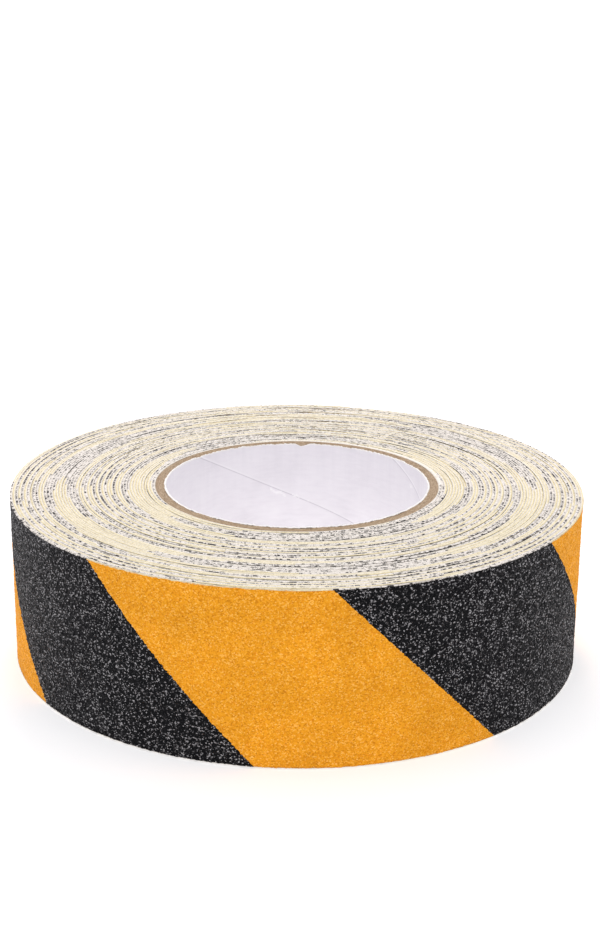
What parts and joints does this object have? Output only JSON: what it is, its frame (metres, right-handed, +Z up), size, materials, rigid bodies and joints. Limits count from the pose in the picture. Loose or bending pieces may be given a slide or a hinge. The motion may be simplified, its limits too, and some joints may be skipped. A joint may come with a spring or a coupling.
{
  "type": "hazard-striped anti-slip grit tape roll",
  "caption": "Roll of black and yellow striped abrasive anti-slip tape on a paperboard core, with a free end that unwinds and peels off its release liner.",
  "frame": {"origin": "centre of the core's bore, on the plane of the lower wound face that the roll lies on", "axes": "+Z up along the core's axis; -Y is the front of the roll and +Y the side where the tape's free end lies"},
  "size_m": [0.1691, 0.1696, 0.05],
  "materials": {
    "core_lining": "matte",
    "core_board": "matte",
    "core_wrap": "matte",
    "release_liner": "satin",
    "adhesive": "satin",
    "carrier_film": "satin",
    "grit_coat": "matte",
    "closing_tab": "gloss"
  },
  "bodies": {
    "roll": {"core_lining_ply": "core_lining", "core_body_ply_1": "core_board", "core_body_ply_2": "core_board", "core_body_ply_3": "core_board", "core_body_ply_4": "core_board", "core_body_ply_5": "core_board", "core_wrap_ply": "core_wrap", "wound_liner": "release_liner", "wound_adhesive": "adhesive", "wound_film": "carrier_film", "wound_grit": "grit_coat"},
    "tail_1": {"tail_1_liner": "release_liner", "tail_1_adhesive": "adhesive", "tail_1_film": "carrier_film", "tail_1_grit": "grit_coat"},
    "tail_2": {"tail_2_liner": "release_liner", "tail_2_adhesive": "adhesive", "tail_2_film": "carrier_film", "tail_2_grit": "grit_coat"},
    "tail_3": {"tail_3_liner": "release_liner", "tail_3_adhesive": "adhesive", "tail_3_film": "carrier_film", "tail_3_grit": "grit_coat"},
    "tail_4": {"tail_4_liner": "release_liner", "tail_4_adhesive": "adhesive", "tail_4_film": "carrier_film", "tail_4_grit": "grit_coat"},
    "tail_5": {"tail_5_liner": "release_liner", "tail_5_adhesive": "adhesive", "tail_5_film": "carrier_film", "tail_5_grit": "grit_coat"},
    "tail_6": {"tail_6_liner": "release_liner", "tail_6_adhesive": "adhesive", "tail_6_film": "carrier_film", "tail_6_grit": "grit_coat"},
    "tip_1": {"tip_1_adhesive": "adhesive", "tip_1_film": "carrier_film", "tip_1_grit": "grit_coat"},
    "tip_2": {"tip_2_adhesive": "adhesive", "tip_2_film": "carrier_film", "tip_2_grit": "grit_coat"},
    "tip_3": {"tip_3_adhesive": "adhesive", "tip_3_film": "carrier_film", "tip_3_grit": "grit_coat", "closing_tab": "closing_tab"}
  },
  "joints": [
    {"name": "tail_unwind", "type": "hinge", "parent": "roll", "child": "tail_1", "pos_m": [-0.08463, 0, 0.025], "axis": [0, 0, 1], "range_deg": [0, 24], "stiffness_Nm_per_rad": 0.01},
    {"name": "tail_unwind_2", "type": "hinge", "parent": "tail_1", "child": "tail_2", "pos_m": [-0.08173, 0.02201, 0.025], "axis": [0, 0, 1], "range_deg": [0, 24], "stiffness_Nm_per_rad": 0.01},
    {"name": "tail_unwind_3", "type": "hinge", "parent": "tail_2", "child": "tail_3", "pos_m": [-0.07324, 0.04252, 0.025], "axis": [0, 0, 1], "range_deg": [0, 24], "stiffness_Nm_per_rad": 0.01},
    {"name": "tail_unwind_4", "type": "hinge", "parent": "tail_3", "child": "tail_4", "pos_m": [-0.05972, 0.06014, 0.025], "axis": [0, 0, 1], "range_deg": [0, 24], "stiffness_Nm_per_rad": 0.01},
    {"name": "tail_unwind_5", "type": "hinge", "parent": "tail_4", "child": "tail_5", "pos_m": [-0.04211, 0.07365, 0.025], "axis": [0, 0, 1], "range_deg": [0, 24], "stiffness_Nm_per_rad": 0.01},
    {"name": "tail_unwind_6", "type": "hinge", "parent": "tail_5", "child": "tail_6", "pos_m": [-0.0216, 0.08215, 0.025], "axis": [0, 0, 1], "range_deg": [0, 24], "stiffness_Nm_per_rad": 0.01},
    {"name": "tip_peel", "type": "hinge", "parent": "tail_6", "child": "tip_1", "pos_m": [0.00042, 0.08507, 0.025], "axis": [0, 0, 1], "range_deg": [0, 25], "stiffness_Nm_per_rad": 0.00005},
    {"name": "tip_peel_2", "type": "hinge", "parent": "tip_1", "child": "tip_2", "pos_m": [0.00635, 0.08487, 0.025], "axis": [0, 0, 1], "range_deg": [0, 25], "stiffness_Nm_per_rad": 0.00005},
    {"name": "tip_peel_3", "type": "hinge", "parent": "tip_2", "child": "tip_3", "pos_m": [0.01226, 0.08425, 0.025], "axis": [0, 0, 1], "range_deg": [0, 25], "stiffness_Nm_per_rad": 0.00005}
  ],
  "couplings": [
    {"joint": "tail_unwind_2", "follows": "tail_unwind", "ratio": 1},
    {"joint": "tail_unwind_3", "follows": "tail_unwind", "ratio": 1},
    {"joint": "tail_unwind_4", "follows": "tail_unwind", "ratio": 1},
    {"joint": "tail_unwind_5", "follows": "tail_unwind", "ratio": 1},
    {"joint": "tail_unwind_6", "follows": "tail_unwind", "ratio": 1},
    {"joint": "tip_peel_2", "follows": "tip_peel", "ratio": 1},
    {"joint": "tip_peel_3", "follows": "tip_peel", "ratio": 1}
  ]
}
